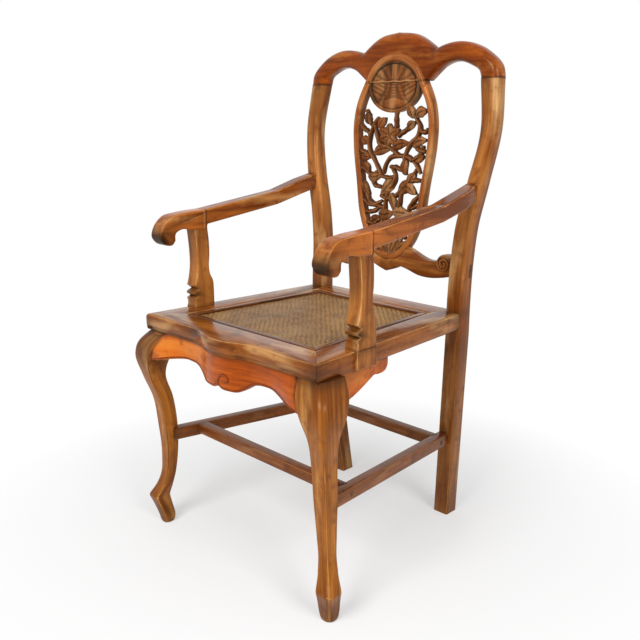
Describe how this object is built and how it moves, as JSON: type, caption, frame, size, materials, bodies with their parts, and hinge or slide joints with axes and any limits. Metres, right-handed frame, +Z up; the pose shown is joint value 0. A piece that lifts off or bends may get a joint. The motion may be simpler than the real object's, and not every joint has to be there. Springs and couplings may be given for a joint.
{
  "type": "carved armchair",
  "caption": "Joined hardwood armchair with lobed crest rail, pierced egg-shaped splat, scrolled arms, serpentine cane seat, cabriole front legs and box stretchers.",
  "frame": {"origin": "centre of the footprint box at floor level, under the middle of the seat", "axes": "+Z up, -Y towards the front of the chair, +X to the right of someone facing its front"},
  "size_m": [0.5624, 0.5455, 1.05],
  "materials": {
    "honey_wood": "satin lacquer",
    "red_wood": "satin lacquer",
    "carved_wood": "satin lacquer",
    "plain_wood": "bare",
    "dark_wood": "satin lacquer",
    "peg_wood": "bare",
    "cane": "woven"
  },
  "bodies": {
    "root": {"rear_post_right": "honey_wood", "rear_post_left": "honey_wood", "crest_rail": "honey_wood", "lower_back_rail": "honey_wood", "arm_right": "honey_wood", "arm_left": "honey_wood", "arm_support_right": "honey_wood", "arm_support_left": "honey_wood", "seat_rail_front": "honey_wood", "seat_rail_rear": "honey_wood", "seat_rail_right": "honey_wood", "seat_rail_left": "honey_wood", "front_leg_right": "honey_wood", "front_leg_left": "honey_wood", "side_stretcher_right": "honey_wood", "side_stretcher_left": "honey_wood", "front_stretcher": "honey_wood", "rear_stretcher": "honey_wood", "front_apron": "red_wood", "side_apron_right": "red_wood", "side_apron_left": "red_wood", "splat": "carved_wood", "seat_batten_right": "plain_wood", "seat_batten_left": "plain_wood", "cane_strip_front": "dark_wood", "cane_strip_rear": "dark_wood", "cane_strip_right": "dark_wood", "cane_strip_left": "dark_wood", "cane_panel": "cane", "seat_pegs": "peg_wood", "arm_pegs": "peg_wood", "back_pegs": "peg_wood"}
  },
  "joints": []
}
